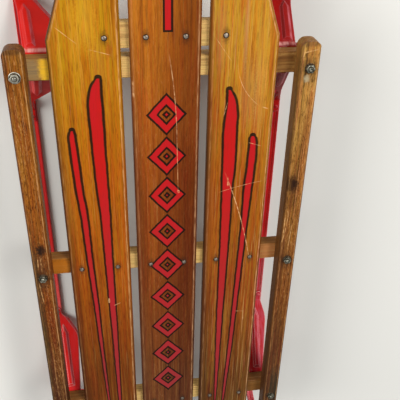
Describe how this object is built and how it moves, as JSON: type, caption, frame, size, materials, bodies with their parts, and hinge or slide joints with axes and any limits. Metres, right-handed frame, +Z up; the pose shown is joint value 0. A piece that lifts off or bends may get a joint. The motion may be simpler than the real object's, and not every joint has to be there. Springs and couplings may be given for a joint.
{
  "type": "steerable runner sled",
  "caption": "Steerable wooden runner sled: slatted deck on cross benches and side rails, pressed steel knees, flexible steel runners, bumper and pivoting steering bar.",
  "frame": {"origin": "on the floor under the middle of the sled's overall box", "axes": "+X to the sled's right when facing forward, +Y towards the steering end, +Z up"},
  "size_m": [0.54, 1.0576, 0.155],
  "materials": {
    "deck_varnish": "old amber varnish over pine, worn and scratched",
    "rail_wood": "worn brown varnish with dirt",
    "bench_wood": "thin varnish over hardwood",
    "bar_wood": "amber varnish worn at the grips",
    "red_enamel": "glossy red enamel, chipped on its edges",
    "zinc_hardware": "dull, dirty zinc"
  },
  "bodies": {
    "sled": {"slat_left": "deck_varnish", "slat_center": "deck_varnish", "slat_right": "deck_varnish", "front_cleat": "bench_wood", "bench_front": "bench_wood", "bench_middle": "bench_wood", "bench_rear": "bench_wood", "rail_left": "rail_wood", "rail_right": "rail_wood", "knee_front_left": "red_enamel", "knee_front_right": "red_enamel", "knee_rear_left": "red_enamel", "knee_rear_right": "red_enamel", "runner_left": "red_enamel", "runner_right": "red_enamel", "bumper": "red_enamel", "pivot_bolt": "zinc_hardware", "pivot_washer": "zinc_hardware", "rail_bolts": "zinc_hardware"},
    "steering": {"steering_bar": "bar_wood", "link_bolts": "zinc_hardware"}
  },
  "joints": [
    {"name": "steer", "type": "hinge", "parent": "sled", "child": "steering", "pos_m": [0, 0.49479, 0.1137], "axis": [0, 0, 1], "range_deg": [-10, 10], "stiffness_Nm_per_rad": 40}
  ]
}
